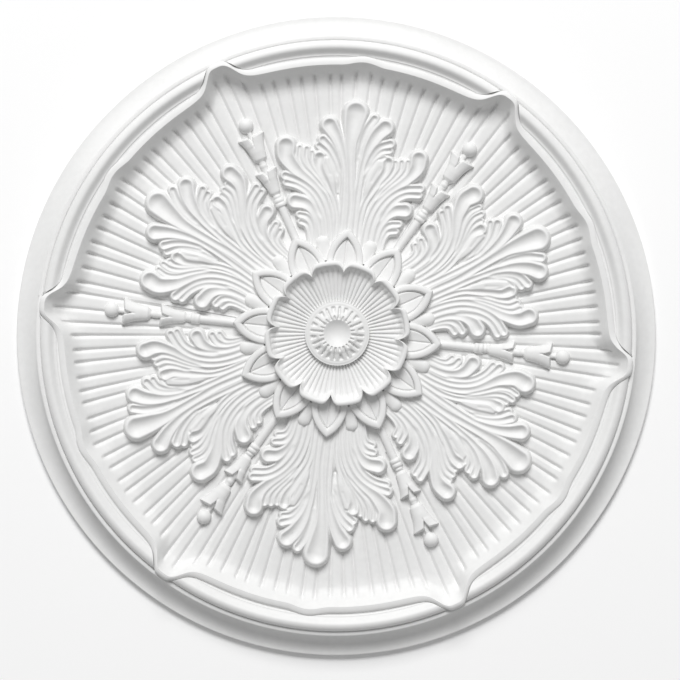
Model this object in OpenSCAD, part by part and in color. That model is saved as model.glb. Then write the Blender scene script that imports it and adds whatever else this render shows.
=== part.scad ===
// Ceiling rose in one casting. It lies face up: the flat back is on z = 0 and the carving rises towards +Z.
// Plan directions are counted from +X, where the first string of husks points.

/* [Overall] */
// Diameter over the outer edge
rose_d = 700; // [640:10:840]
// Height of the flat field above the back
field_z = 14; // [10:1:20]
// Number of acanthus leaves, with a string of husks between each two
leaf_n = 6; // [5:1:7]

/* [Rim] */
// Width of the rim from the outer edge to the foot of the wavy lip
rim_w = 50.4; // [48:0.2:56]
// Height of the thin outer edge
edge_z = 8; // [5:0.5:12]
// Width of the flat band on the outer edge
edge_w = 3; // [2:0.5:5]
// Width of the hollow slope inside the edge band
slope_w = 20.4; // [17:0.2:22]
// Height of the hollow slope where it meets the step
slope_z = 20.5; // [16:0.5:24]
// Height of the bead at the top of the step
bead_z = 29; // [27:0.5:30]
// Width of the bead
bead_w = 5.2; // [4:0.2:6]
// Width of the roll moulding outside its crest
roll_out_w = 7.3; // [6:0.1:8]
// Width of the gentler side of the roll moulding, from its crest to the groove
roll_in_w = 9.5; // [8:0.1:11]
// Height of the crest of the roll moulding
roll_z = 36; // [34:0.5:42]
// Height of the groove between the roll and the lip
groove_z = 30; // [27:0.5:30.5]

/* [Wavy lip] */
// Height of the lip's crest
lip_z = 33; // [32:0.5:36]
// Height of the lip's crest where it runs out to a point
point_z = 36.8; // [34:0.2:42]
// How far each point runs out over the rim
point_out = 23.6; // [15:0.2:24]
// How far the lip swells out half way between two points
swell_out = 3.8; // [0:0.2:5]
// Width of the cove from the lip's crest down to the field
cove_w = 24; // [18:1:30]

/* [Flutes] */
// Number of flutes cut round the field
flute_n = 118; // [80:1:140]
// Width of a flute
flute_w = 5; // [3:0.2:6]
// Depth of a flute
flute_depth = 1.8; // [1:0.1:2.4]
// Distance from the foot of the lip to the outer end of the flutes
flute_stop = 20.5; // [20:0.5:30]
// Radius at which the flutes begin, under the leaves
flute_start = 152; // [140:1:180]

/* [Leaves] */
// Height of a leaf's curled tips above the field
leaf_rise = 12; // [8:0.5:16]
// Height of a leaf's narrow foot above the field
leaf_foot = 7; // [4:0.5:10]

/* [Husks] */
// Radius of the round stem
stem_r = 5; // [3:0.5:7]
// Radius of the bead that ends the string
drop_r = 8.8; // [6:0.2:11]
// Half width of the outer husk at its mouth
husk_r = 14.4; // [11:0.2:18]
// Half width of the inner husk at its mouth
inner_husk_r = 11.4; // [9:0.2:14]

/* [Flower] */
// Radius to the tips of the sepals
sepal_tip_r = 113; // [104:0.5:124]
// Number of petals, and of sepals
petal_n = 12; // [10:1:14]
// Width of a sepal where it leaves the petals
sepal_w = 36; // [28:1:40]
// Height of the sepals at their border
sepal_z = 28; // [24:0.5:32]
// Width of a sepal's rolled border
border_w = 5.6; // [3:0.2:7]
// Depth of the hollow inside the border
hollow_depth = 2.4; // [1:0.2:4]
// Radius of the buds between the sepals
bud_r = 6.4; // [4:0.2:8]
// Radius to the outside of the petals
petal_r = 78.8; // [70:0.2:86]
// How far the rim dips in between two petals
petal_notch = 10.8; // [6:0.2:14]
// Height of the petals' rolled rim
petal_z = 38; // [34:0.5:44]
// Width of the petals' rolled rim
petal_rim_w = 6; // [4:0.2:8]
// Height of the bowl's floor beside the boss
bowl_z = 24; // [20:0.5:27]
// Number of ribs on one petal
rib_n = 6; // [4:1:8]
// Depth of the cuts between the ribs
rib_depth = 1.2; // [0.6:0.1:1.6]
// Radius of the ring round the boss
boss_r = 32.8; // [28:0.2:36]
// Height of the boss at the edge of its dish
boss_z = 34; // [30:0.5:40]
// Radius of the smooth dish in the boss
dish_r = 15; // [11:0.5:18]
// Depth of the dish
dish_depth = 4; // [2:0.5:6]

/* [Hidden] */
fine = 180;
round_fn = 48;
outer_r = rose_d / 2;
leaf_pitch = 360 / leaf_n;
petal_pitch = 360 / petal_n;
sunk = 4;

// Radii of the rim's mouldings, all counted in from the outer edge.
lip_r = outer_r - rim_w;
band_r = outer_r - edge_w;
step_r = band_r - slope_w;
bead_r = step_r - bead_w;
roll_r = bead_r - roll_out_w;
groove_r = roll_r - roll_in_w;

// The ornament keeps its place in the field when the overall diameter changes.
plan = lip_r / 299.6;

function curve(a, b, c, d, t) =
    pow(1 - t, 3) * a + 3 * t * pow(1 - t, 2) * b + 3 * t * t * (1 - t) * c + pow(t, 3) * d;
function away(angle) = abs(angle - leaf_pitch * round(angle / leaf_pitch));
point_steps = [[0, 1], [1.7, 0.96], [3, 0.6], [4.5, 0.29], [7, 0.07], [8.5, 0]];
function point_share(angle) = lookup(away(angle), point_steps);
function swell_share(angle) = lookup(away(angle), [[leaf_pitch / 2 - 4, 0], [leaf_pitch / 2, 1]]);
function lip_foot(angle) = lip_r + point_out * point_share(angle) + swell_out * swell_share(angle);
function lip_crest(angle) = lip_z + (point_z - lip_z) * point_share(angle);
lip_stations = [0, 1.7, 3, 4.5, 7, 9, 17, 26, 30, 34, 43, 51, 53, 55.5, 57, 58.3];
lip_angles = [for (k = [0 : leaf_n - 1], a = lip_stations) (k + a / 60) * leaf_pitch];

// Section of the lip: distance in from its foot, and height as a share of the rise from the groove or field.
crest_in = 5;
flank = [[-2, 0], [-0.8, 0.6], [1.4, 0.9], [crest_in, 1]];
cove = [[0.2, 0.84], [0.4, 0.49], [0.62, 0.2], [1, 0.01]];

function lip_section(angle) = let (
    foot = lip_foot(angle),
    crest = lip_crest(angle),
    shelf = groove_z + 1.5 * point_share(angle),
    squeeze = 1 - 0.7 * point_share(angle)
) concat(
    [[foot, field_z - sunk]],
    [for (p = flank) [foot - p[0] * (p[0] < 0 ? squeeze : 1), shelf + (crest - shelf) * p[1]]],
    [for (p = cove) [foot - crest_in - cove_w * p[0], field_z + (crest - field_z) * p[1]]],
    [[foot - crest_in - cove_w, field_z - sunk]]
);

// A closed ring or an open bar swept through a list of equal sections.
function band_faces(rings, n, closed) = [
    for (i = [0 : rings - (closed ? 1 : 2)], j = [0 : n - 1])
    let (a = i * n, b = ((i + 1) % rings) * n, k = (j + 1) % n)
    each [[a + j, a + k, b + k], [a + j, b + k, b + j]]
];

module outline_disc() {
    polygon([for (a = lip_angles) (lip_foot(a) - crest_in) * [cos(a), sin(a)]]);
}

module rim() {
    rise = slope_z - edge_z;
    under_r = groove_r - 60;
    bevel = 1.5;
    bead_round = 1.6;
    roll_foot = bead_z - 1;
    out_rise = roll_z - roll_foot;
    in_rise = roll_z - groove_z;
    slope = [for (t = [0 : 0.125 : 1]) [band_r - slope_w * t, edge_z + rise * t * t]];
    bead = [
        [step_r, bead_z - bead_round],
        [step_r - bead_w / 3, bead_z - bead_round / 3],
        [bead_r + 1, bead_z]
    ];
    roll_out = [for (t = [10 : 16 : 90]) [roll_r + roll_out_w * cos(t), roll_foot + out_rise * sin(t)]];
    roll_in = [for (t = [0.2 : 0.2 : 1]) [roll_r - roll_in_w * t, roll_z - in_rise * (1 - cos(180 * t)) / 2]];
    difference() {
        rotate_extrude($fn = fine)
            polygon(concat(
                [[under_r, 0], [outer_r, 0], [outer_r, edge_z - bevel], [outer_r - bevel / 2, edge_z]],
                slope,
                bead,
                roll_out,
                roll_in,
                [[under_r, groove_z]]
            ));
        translate([0, 0, field_z - sunk / 2])
            linear_extrude(roll_z)
                outline_disc();
    }
    cylinder(r = step_r, h = field_z, $fn = fine);
}

module lip() {
    polyhedron(
        points = [for (a = lip_angles, p = lip_section(a)) [p[0] * cos(a), p[0] * sin(a), p[1]]],
        faces = band_faces(len(lip_angles), len(lip_section(0)), true)
    );
}

// The flutes are spaced a little unevenly, as cut by hand.
function flute_angle(i) = 360 / flute_n * (i + 0.07 * sin(i * 222) + 0.04 * sin(i * 97));

module flutes() {
    cut_r = (pow(flute_w / 2, 2) + flute_depth * flute_depth) / (2 * flute_depth);
    for (i = [0 : flute_n - 1]) {
        a = flute_angle(i);
        rotate([0, 0, a])
            translate([flute_start, 0, field_z + cut_r - flute_depth])
                rotate([0, 90, 0])
                    cylinder(r = cut_r, h = lip_foot(a) - flute_stop - flute_start, $fn = 24);
    }
}

// Fingers of one leaf. Each row holds four points of its curve, its half width near the tip and its height as
// a share of the leaf's rise. The leaf points along +Y and y is the distance from the centre of the rose.
right_fingers = [
    [[4, 165], [8, 200], [10, 225], [15, 240], 5, 0.85],
    [[6, 165], [10, 205], [22, 222], [30, 236], 8, 1],
    [[8, 162], [13, 190], [26, 202], [37, 214], 6, 0.85],
    [[10, 158], [14, 178], [34, 178], [36, 194], 7, 0.75],
    [[12, 118], [20, 160], [42, 172], [53, 191], 6, 0.75],
    [[14, 116], [20, 165], [64, 172], [68, 203], 9, 1],
    [[19, 114], [28, 148], [48, 158], [76, 166], 8, 0.8],
    [[25, 112], [33, 140], [48, 148], [65, 141], 8, 0.95],
    [[28, 110], [34, 124], [44, 132], [55, 125], 5, 0.7]
];
left_fingers = [
    [[-5, 165], [-9, 205], [-22, 220], [-31, 233], 8, 1],
    [[-7, 162], [-13, 190], [-28, 203], [-41, 209], 6, 0.85],
    [[-9, 158], [-13, 178], [-36, 178], [-41, 194], 7, 0.75],
    [[-12, 118], [-22, 165], [-46, 172], [-59, 194], 7, 0.75],
    [[-14, 116], [-22, 172], [-74, 172], [-78, 209], 10, 1],
    [[-19, 114], [-28, 158], [-50, 162], [-76, 165], 7, 0.8],
    [[-25, 112], [-33, 140], [-48, 150], [-65, 141], 8, 0.95],
    [[-28, 110], [-35, 126], [-44, 134], [-56, 124], 5, 0.7]
];
crown = [[[-1, 112], [2, 170], [-6, 200], [-3, 253], 15.5, 1]];

// Broad strokes under the fingers, which make the leaf one body.
webs = [
    [[0, 108], [0, 140], [-2, 180], [-3, 226], 33, 0.6],
    [[8, 112], [22, 145], [42, 156], [60, 180], 21, 0.55],
    [[-8, 112], [-22, 145], [-46, 156], [-66, 182], 22, 0.55],
    [[20, 108], [30, 125], [44, 134], [58, 139], 13, 0.5],
    [[-20, 108], [-30, 125], [-44, 134], [-58, 139], 13, 0.5]
];

// Place along a finger, then its width and height there as shares of the full ones.
finger_steps = [[0, 0.5, 0], [0.5, 0.66, 0.2], [0.85, 1, 0.85], [1, 0.7, 1]];
web_steps = [[0, 0.6, 0.4], [0.55, 0.9, 0.8], [1, 0.8, 1]];

module finger(row, steps) {
    ring = [[-1, -1], [1, -1], [0.55, 1], [-0.55, 1]];
    n = len(ring);
    last = (len(steps) - 1) * n;
    points = [
        for (s = steps, p = ring)
        let (
            at = curve(row[0], row[1], row[2], row[3], s[0]),
            ahead = curve(row[0], row[1], row[2], row[3], s[0] + 0.01) - at,
            side = [ahead[1], -ahead[0]] / norm(ahead),
            top = leaf_foot + (leaf_rise * row[5] - leaf_foot) * s[2],
            place = plan * (at + side * row[4] * s[1] * p[0])
        )
        [place[0], place[1], p[1] > 0 ? top : -sunk]
    ];
    polyhedron(
        points = points,
        faces = concat(
            band_faces(len(steps), n, false),
            [[for (j = [n - 1 : -1 : 0]) j], [for (j = [0 : n - 1]) last + j]]
        )
    );
}

// A ball with a pin-head flat at its top and bottom.
module ball(r) {
    flat = 0.998;
    rotate_extrude($fn = round_fn)
        intersection() {
            circle(r = r, $fn = round_fn);
            translate([0, -flat * r])
                square([r, 2 * flat * r]);
        }
}

module leaf() {
    for (row = concat(right_fingers, left_fingers, crown))
        finger(row, finger_steps);
    for (row = webs)
        finger(row, web_steps);
}

module leaves() {
    translate([0, 0, field_z - sunk])
        resize([0, 0, leaf_rise + sunk])
            for (k = [0 : leaf_n - 1])
                rotate([0, 0, (k + 0.5) * leaf_pitch - 90])
                    translate([0, 0, sunk])
                        leaf();
}

// A husk is a cone laid in the field, with its mouth sunk so that only its front shows, cut to two lips.
module husk(from, to, neck, half_w) {
    mouth = half_w * 1.1;
    sag = mouth * 0.42;
    tilt = atan(sag / (to - from));
    notch = half_w * 0.6;
    spread = 1.9 * notch;
    difference() {
        translate([from, 0, field_z])
            rotate([0, 90 + tilt, 0])
                cylinder(r1 = neck, r2 = mouth, h = (to - from) / cos(tilt), $fn = round_fn);
        translate([0, -2 * mouth, -2 * mouth])
            cube([outer_r, 4 * mouth, 2 * mouth + field_z - sunk]);
        linear_extrude(2 * point_z)
            polygon([[to - notch, 0], [to + notch, -spread], [to + notch, spread]]);
    }
}

module rod(from, to, radius) {
    translate([from, 0, field_z])
        rotate([0, 90, 0])
            cylinder(r = radius, h = to - from, $fn = round_fn);
}

module husk_string() {
    stem_end = 158 * plan;
    knot = 161.5 * plan;
    inner_neck = 162 * plan;
    inner_mouth = 194 * plan;
    outer_neck = 205 * plan;
    outer_mouth = 237 * plan;
    drop = 247.5 * plan;
    neck_r = stem_r - 1;
    overlap = 12;
    rod(petal_r, stem_end, stem_r);
    translate([knot, 0, field_z])
        ball(stem_r + 1);
    husk(inner_neck, inner_mouth, neck_r, inner_husk_r);
    rod(inner_mouth - overlap, outer_neck + 2, neck_r + 0.2);
    husk(outer_neck, outer_mouth, neck_r, husk_r);
    rod(outer_mouth - overlap, drop, neck_r - 0.5);
    translate([drop, 0, field_z])
        ball(drop_r);
}

module husks() {
    for (k = [0 : leaf_n - 1])
        rotate([0, 0, k * leaf_pitch])
            husk_string();
}

// A sepal is the pointed overlap of two circles.
sepal_tuck = 8;
lens_x = petal_r - sepal_tuck;
lens_y = (pow(sepal_tip_r - lens_x, 2) - pow(sepal_tuck, 2) - pow(sepal_w / 2, 2)) / sepal_w;
lens_r = norm([sepal_tip_r - lens_x, lens_y]);

module sepal_plan(inset) {
    intersection_for (side = [-1, 1])
        translate([lens_x, side * lens_y])
            circle(r = lens_r - inset, $fn = fine);
}

module sepal() {
    difference() {
        translate([0, 0, field_z - sunk])
            linear_extrude(sepal_z - field_z + sunk)
                sepal_plan(0);
        translate([0, 0, sepal_z - hollow_depth])
            linear_extrude(hollow_depth + 1)
                sepal_plan(border_w);
        cylinder(r = petal_r - 2 * sepal_tuck, h = petal_z, $fn = fine);
    }
}

// A petal's edge is an arc through its middle and through the two points where it meets its neighbours.
module petals_plan(middle_r, meeting_r) {
    half = petal_pitch / 2;
    arc_x = (middle_r * middle_r - meeting_r * meeting_r) / (2 * (middle_r - meeting_r * cos(half)));
    for (k = [0 : petal_n - 1])
        rotate([0, 0, (k + 0.5) * petal_pitch])
            translate([arc_x, 0])
                circle(r = middle_r - arc_x, $fn = 72);
    circle(r = arc_x, $fn = fine);
}

// A round cut that widens outwards, its bottom at a given depth under a slope from one point to another.
module slope_cut(from, to, r1, r2, depth) {
    tilt = atan((to[1] + r2 - from[1] - r1) / (to[0] - from[0]));
    translate([from[0], 0, from[1] + r1 - depth])
        rotate([0, 90 - tilt, 0])
            cylinder(r1 = r1, r2 = r2, h = (to[0] - from[0]) / cos(tilt), $fn = 24);
}

module corolla() {
    soft = petal_rim_w / 4;
    meeting_r = petal_r - petal_notch;
    rim_drop = petal_rim_w * 0.6;
    shelf_z = petal_z - rim_drop;
    floor_r = boss_r + 3;
    bowl_r = meeting_r - petal_rim_w;
    ribs = petal_n * rib_n;
    cut_share = 0.8 * PI / ribs;
    difference() {
        union() {
            translate([0, 0, field_z - sunk])
                linear_extrude(petal_z - soft - field_z + sunk)
                    petals_plan(petal_r, meeting_r);
            translate([0, 0, field_z - sunk])
                linear_extrude(petal_z - field_z + sunk)
                    petals_plan(petal_r - soft, meeting_r - soft);
        }
        translate([0, 0, shelf_z])
            linear_extrude(petal_z)
                petals_plan(petal_r - petal_rim_w, meeting_r - rim_drop);
        translate([0, 0, bowl_z])
            cylinder(r1 = floor_r, r2 = bowl_r, h = shelf_z - bowl_z + 0.01, $fn = fine);
        for (k = [0 : ribs - 1])
            rotate([0, 0, (k + 0.5) * 360 / ribs])
                slope_cut(
                    [floor_r, bowl_z], [bowl_r, shelf_z],
                    floor_r * cut_share, bowl_r * cut_share, rib_depth
                );
    }
}

module boss() {
    ring = 2.4;
    ring_top = bowl_z + 6;
    side_r = boss_r + ring + 0.2;
    top = [dish_r + 1, boss_z];
    foot = [boss_r - ring, ring_top - 2];
    pocket = (top + 2 * foot) / 3;
    groove_r1 = 1;
    groove_r2 = 1.6;
    difference() {
        rotate_extrude($fn = fine)
            polygon(concat(
                [[0, bowl_z - sunk], [side_r + 0.4, bowl_z - sunk], [side_r, bowl_z + 2]],
                [for (t = [0 : 30 : 180]) [boss_r + ring * cos(t), ring_top - ring + ring * sin(t)]],
                [top],
                [for (t = [0 : 0.225 : 0.9]) [dish_r * (1 - t), boss_z - dish_depth * sin(100 * t)]],
                [[0, boss_z - dish_depth]]
            ));
        for (k = [0 : petal_n - 1]) {
            rotate([0, 0, k * petal_pitch])
                slope_cut([top[0] - 1.5, top[1]], foot, groove_r1, groove_r2, groove_r1);
            rotate([0, 0, (k + 0.5) * petal_pitch])
                translate([pocket[0], 0, pocket[1] + 1])
                    ball(ring);
        }
    }
}

module flower() {
    pad_r = sepal_tip_r - 15;
    bud_at = sepal_tip_r - 10.5;
    cylinder(r = pad_r, h = field_z + leaf_foot - 1, $fn = fine);
    for (k = [0 : petal_n - 1]) {
        rotate([0, 0, k * petal_pitch])
            sepal();
        rotate([0, 0, (k + 0.5) * petal_pitch])
            translate([bud_at, 0, sepal_z - bud_r - 2])
                ball(bud_r);
    }
    corolla();
    boss();
}

module ceiling_rose() {
    color("white") {
        difference() {
            union() {
                rim();
                lip();
            }
            flutes();
        }
        leaves();
        husks();
        flower();
    }
}

ceiling_rose();
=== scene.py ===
import math

import bpy
import numpy as np
from bpy.props import FloatProperty, FloatVectorProperty, IntProperty, PointerProperty
from mathutils import Matrix, Vector


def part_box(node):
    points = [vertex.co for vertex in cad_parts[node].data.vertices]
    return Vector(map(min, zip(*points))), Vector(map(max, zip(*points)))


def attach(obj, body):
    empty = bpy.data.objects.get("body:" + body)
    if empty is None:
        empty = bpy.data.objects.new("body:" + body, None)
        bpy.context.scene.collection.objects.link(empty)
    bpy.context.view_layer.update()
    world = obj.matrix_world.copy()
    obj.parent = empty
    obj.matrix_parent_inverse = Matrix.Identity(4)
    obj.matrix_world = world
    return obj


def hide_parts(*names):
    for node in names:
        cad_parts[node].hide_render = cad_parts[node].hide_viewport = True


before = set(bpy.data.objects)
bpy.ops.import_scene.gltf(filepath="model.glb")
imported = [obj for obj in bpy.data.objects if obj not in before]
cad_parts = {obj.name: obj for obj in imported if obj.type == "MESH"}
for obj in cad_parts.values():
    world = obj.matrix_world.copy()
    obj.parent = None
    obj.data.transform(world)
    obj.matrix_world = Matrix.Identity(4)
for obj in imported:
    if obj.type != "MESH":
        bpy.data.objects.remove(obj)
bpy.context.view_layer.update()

bl_info = {
    "name": "Ceiling Rose",
    "version": (1, 0, 0),
    "blender": (4, 5, 0),
    "location": "3D View > Sidebar > Rose",
    "description": "A ceiling rose in one casting: rim, wavy lip, flutes, acanthus leaves, husks and flower",
    "category": "Add Mesh",
}

NODE = "ceiling_rose"
PRIMER = "white_primer"
CAD_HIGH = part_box(NODE)[1]
MM = 0.001
# The visible rim stands this far inside the many-sided one of the frame.
CLEAR = 0.00015
# In millimetres: how deep a carving is let into the field, and how far its mesh reaches below that.
SUNK = 4
SPARE = 4
# The field rises to a low pad under the flower: its height, the radius of its foot, and the width of
# its slope.
PAD_RISE = 6
PAD_RADIUS = 99.5
PAD_SLOPE = 4
# Height given to places where there is nothing to carve, well below the field.
NOTHING = -8.0


def length(name, text, value):
    """A length in metres, shown with its unit."""
    return FloatProperty(name=name, description=text, default=value, min=0.0, unit="LENGTH", precision=5)


def share(name, text, value):
    """A share of something else, with no unit."""
    return FloatProperty(
        name=name, description=text, default=value, min=0.0, subtype="FACTOR", soft_max=1.0
    )


def number(name, text, value, low, high):
    """A whole number."""
    return IntProperty(name=name, description=text, default=value, min=low, max=high)


class RimSizes(bpy.types.PropertyGroup):
    """Sizes of the round mouldings and of the wavy lip inside them."""

    outer_radius: length("Outer radius", "Radius over the outer edge", CAD_HIGH.x - CLEAR)
    field_height: length("Field height", "Height of the fluted field above the flat back", 0.014)
    edge_height: length("Edge height", "Height of the thin outer edge", 0.008)
    slope_height: length("Slope height", "Height of the hollow outer slope where it meets the step", 0.0205)
    bead_height: length("Bead height", "Height of the bead on the step", 0.029)
    roll_height: length("Roll height", "Height of the crest of the roll moulding", 0.036)
    groove_height: length("Groove height", "Height of the groove between roll and lip", 0.0292)
    lip_foot: length("Lip's foot", "Distance from the outer edge to the foot of the wavy lip", 0.0504)
    lip_height: length("Lip height", "Height of the crest of the wavy lip", 0.0325)
    point_height: length("Point height", "Height of the lip where it runs out to a point", 0.0368)
    point_out: length("Point length", "How far a point runs out over the mouldings", 0.0236)
    swell_out: length("Swell", "How far the lip swells out half way between two points", 0.0038)
    cove_width: length("Cove width", "Width of the cove from the lip's crest to the field", 0.021)


class FluteSizes(bpy.types.PropertyGroup):
    """Sizes of the flutes cut round the field."""

    count: number("Flutes", "Number of flutes round the field", 118, 60, 160)
    width: length("Width", "Width of a flute at the rim", 0.0066)
    depth: length("Depth", "Depth of a flute in the field", 0.0022)
    end_depth: length("End depth", "Depth of a flute where it stops in the cove", 0.0046)
    stop: length("Stop", "Distance from the foot of the lip to the end of the flutes", 0.0118)
    start: length("Start", "Radius at which the flutes begin", 0.140)


class LeafSizes(bpy.types.PropertyGroup):
    """Sizes of the acanthus leaves."""

    count: number("Leaves", "Number of leaves, and of strings of husks", 6, 5, 7)
    rise: length("Rise", "Height of the curled tips above the field", 0.0098)
    foot: length("Foot", "Height of the narrow foot above the field", 0.007)
    grain: length("Grain", "Distance between two points of the leaf's mesh", 0.0006)
    softening: number("Softening", "How often the carving is smoothed", 2, 0, 5)


class HuskSizes(bpy.types.PropertyGroup):
    """Sizes of the strings of husks between the leaves."""

    stem_radius: length("Stem radius", "Half width of the round stem", 0.0046)
    inner_width: length("Inner husk", "Half width of the inner husk at its mouth", 0.0128)
    outer_width: length("Outer husk", "Half width of the outer husk at its mouth", 0.0155)
    drop_radius: length("Drop", "Radius of the bead that ends the string", 0.0084)


class FlowerSizes(bpy.types.PropertyGroup):
    """Sizes of the flower in the middle."""

    petals: number("Petals", "Number of petals, and of sepals", 12, 8, 16)
    sepal_tip: length("Sepal tip", "Radius to the tips of the sepals", 0.1135)
    sepal_width: length("Sepal width", "Width of a sepal where it leaves the petals", 0.0396)
    sepal_height: length("Sepal height", "Height of the sepals at their border", 0.028)
    border: length("Border", "Width of a sepal's rolled border", 0.0074)
    bud_radius: length("Bud radius", "Half width of the tips between the sepals", 0.0072)
    petal_radius: length("Petal radius", "Radius to the outside of the petals", 0.0788)
    meeting_radius: length("Meeting radius", "Radius at which two petals meet", 0.0675)
    petal_height: length("Petal height", "Height of the petals' rolled rim", 0.038)
    petal_rim: length("Petal rim", "Width of the petals' rolled rim", 0.0060)
    bowl_height: length("Bowl height", "Height of the bowl's floor beside the boss", 0.024)
    ribs: number("Ribs", "Number of ribs on one petal", 6, 3, 9)
    rib_depth: length("Rib depth", "Depth of the cuts between the ribs", 0.0017)
    boss_radius: length("Boss radius", "Radius of the ring round the boss", 0.0318)
    boss_height: length("Boss height", "Height of the boss at the edge of its dish", 0.034)
    dish_radius: length("Dish radius", "Radius of the smooth dish in the boss", 0.015)
    dish_depth: length("Dish depth", "Depth of the dish", 0.0056)
    set_off: FloatVectorProperty(
        name="Set off",
        description="Place of the ornament's middle in the rim",
        size=2,
        default=(0.0009, 0.0027),
        unit="LENGTH",
        precision=5,
    )


class FinishValues(bpy.types.PropertyGroup):
    """Colours of the casting and of the floor."""

    paint: FloatVectorProperty(
        name="Paint", description="White primer", subtype="COLOR", size=3, default=(0.80, 0.80, 0.795)
    )
    shade: FloatVectorProperty(
        name="Shade", description="Dusty places", subtype="COLOR", size=3, default=(0.76, 0.76, 0.755)
    )
    roughness: share("Roughness", "Roughness of the primer", 0.55)
    floor: FloatVectorProperty(
        name="Floor", description="Colour of the floor", subtype="COLOR", size=3, default=(0.97, 0.97, 0.97)
    )


# ---------------------------------------------------------------- shared shapes, in millimetres


def millimetres(group):
    """The lengths of a group in millimetres and its other values as they are."""
    values = {}
    for name, item in group.bl_rna.properties.items():
        if item.type in {"FLOAT", "INT"} and not item.is_array:
            value = getattr(group, name)
            values[name] = value / MM if getattr(item, "unit", "NONE") == "LENGTH" else value
    return type("Sizes", (), values)


def away(angle, pitch):
    """Angle to the nearest multiple of pitch, in degrees."""
    return np.abs(angle - pitch * np.round(angle / pitch))


def arch(t):
    """A half round from 0 at t = -1 through 1 at t = 0 to 0 at t = 1."""
    return np.sqrt(np.clip(1 - t * t, 0, 1))


def ease(t):
    """A soft step from 0 to 1."""
    t = np.clip(t, 0, 1)
    return t * t * (3 - 2 * t)


def smooth_line(nodes, per_span):
    """A smooth line through nodes, as an array with a row for each point."""
    n = np.array(nodes, float)
    pad = np.vstack([2 * n[0] - n[1], n, 2 * n[-1] - n[-2]])
    t = (np.arange(per_span) / per_span)[:, None]
    spans = []
    for p0, p1, p2, p3 in zip(pad, pad[1:], pad[2:], pad[3:]):
        spans.append(
            p1
            + (p2 - p0) / 2 * t
            + (p0 - 2.5 * p1 + 2 * p2 - p3 / 2) * t**2
            + (3 * p1 - p0 - 3 * p2 + p3) / 2 * t**3
        )
    return np.vstack(spans + [n[-1:]])


def point_share(angle, pitch):
    """How far the lip has run out towards a point: 1 on the point's axis, 0 well away from it."""
    return 1 / (1 + (away(angle, pitch) / 3.35) ** 3.6)


def lip_foot(angle, rim, pitch):
    """Radius of the foot of the wavy lip."""
    swell = 0.5 + 0.5 * np.cos(np.pi * np.clip((away(angle, pitch) - pitch / 2) / 5, -1, 1))
    out = rim.point_out * point_share(angle, pitch) + rim.swell_out * swell
    return rim.outer_radius - rim.lip_foot + out


def flute_angles(count):
    """The flutes are spaced a little unevenly, as cut by hand."""
    i = np.arange(count)
    return 360 / count * (i + 0.07 * np.sin(np.radians(222 * i)) + 0.04 * np.sin(np.radians(97 * i)))


# ---------------------------------------------------------------- mesh helpers


def only(obj):
    """Selects obj alone and makes it active."""
    bpy.ops.object.select_all(action="DESELECT")
    obj.select_set(True)
    bpy.context.view_layer.objects.active = obj


def grid_object(name, x, y, z):
    """A grid primitive whose points are moved to the places given, in millimetres."""
    rows, cols = x.shape
    bpy.ops.object.select_all(action="DESELECT")
    bpy.ops.mesh.primitive_grid_add(x_subdivisions=cols - 1, y_subdivisions=rows - 1, size=1)
    obj = bpy.context.object
    obj.name = obj.data.name = name
    places = np.stack([x, y, z], axis=-1).reshape(-1, 3) * MM
    obj.data.vertices.foreach_set("co", places.ravel())
    obj.data.update()
    return obj


def close_up(obj):
    """Merges points that meet, so that a bent grid becomes a closed skin, and turns its faces outwards."""
    only(obj)
    bpy.ops.object.mode_set(mode="EDIT")
    bpy.ops.mesh.select_all(action="SELECT")
    bpy.ops.mesh.remove_doubles(threshold=0.004 * MM)
    bpy.ops.mesh.normals_make_consistent(inside=False)
    bpy.ops.object.mode_set(mode="OBJECT")
    return obj


def turned_skin(name, radii, angle, heights):
    """A closed skin from rings of points, given by their radii, angles in degrees and heights."""
    r, h = np.array(radii), np.array(heights)
    x, y = r * np.cos(np.radians(angle)), r * np.sin(np.radians(angle))
    for part in (x, y, h):
        part[:, -1] = part[:, 0]
    return close_up(grid_object(name, x, y, h))


def cut_flat(obj, height):
    """Cuts away all that lies below height and closes the cut."""
    only(obj)
    bpy.ops.object.mode_set(mode="EDIT")
    bpy.ops.mesh.select_all(action="SELECT")
    bpy.ops.mesh.bisect(
        plane_co=(0, 0, height * MM), plane_no=(0, 0, 1), clear_inner=True, use_fill=True, threshold=1e-7
    )
    bpy.ops.mesh.select_all(action="SELECT")
    bpy.ops.mesh.normals_make_consistent(inside=False)
    bpy.ops.object.mode_set(mode="OBJECT")
    return obj


def thinned(obj, keep):
    """Thins the mesh of obj where it is flattest, and keeps this share of its faces."""
    only(obj)
    thin = obj.modifiers.new("Thin", "DECIMATE")
    thin.ratio = keep
    bpy.ops.object.modifier_apply(modifier=thin.name)
    return obj


def carved_piece(name, x, y, z, rim, keep):
    """A carving over a grid of places, with walls all round and a flat underside below the field."""
    bottom = rim.field_height - SUNK
    z[[0, -1]] = bottom - SPARE
    z[:, [0, -1]] = bottom - SPARE
    return thinned(cut_flat(grid_object(name, x, y, z), bottom), keep)


def softened(z):
    """Heights evened out a little between neighbours along both ways of the grid."""
    z[1:-1] = (z[:-2] + 2 * z[1:-1] + z[2:]) / 4
    z[:, 1:-1] = (z[:, :-2] + 2 * z[:, 1:-1] + z[:, 2:]) / 4
    return z


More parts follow.
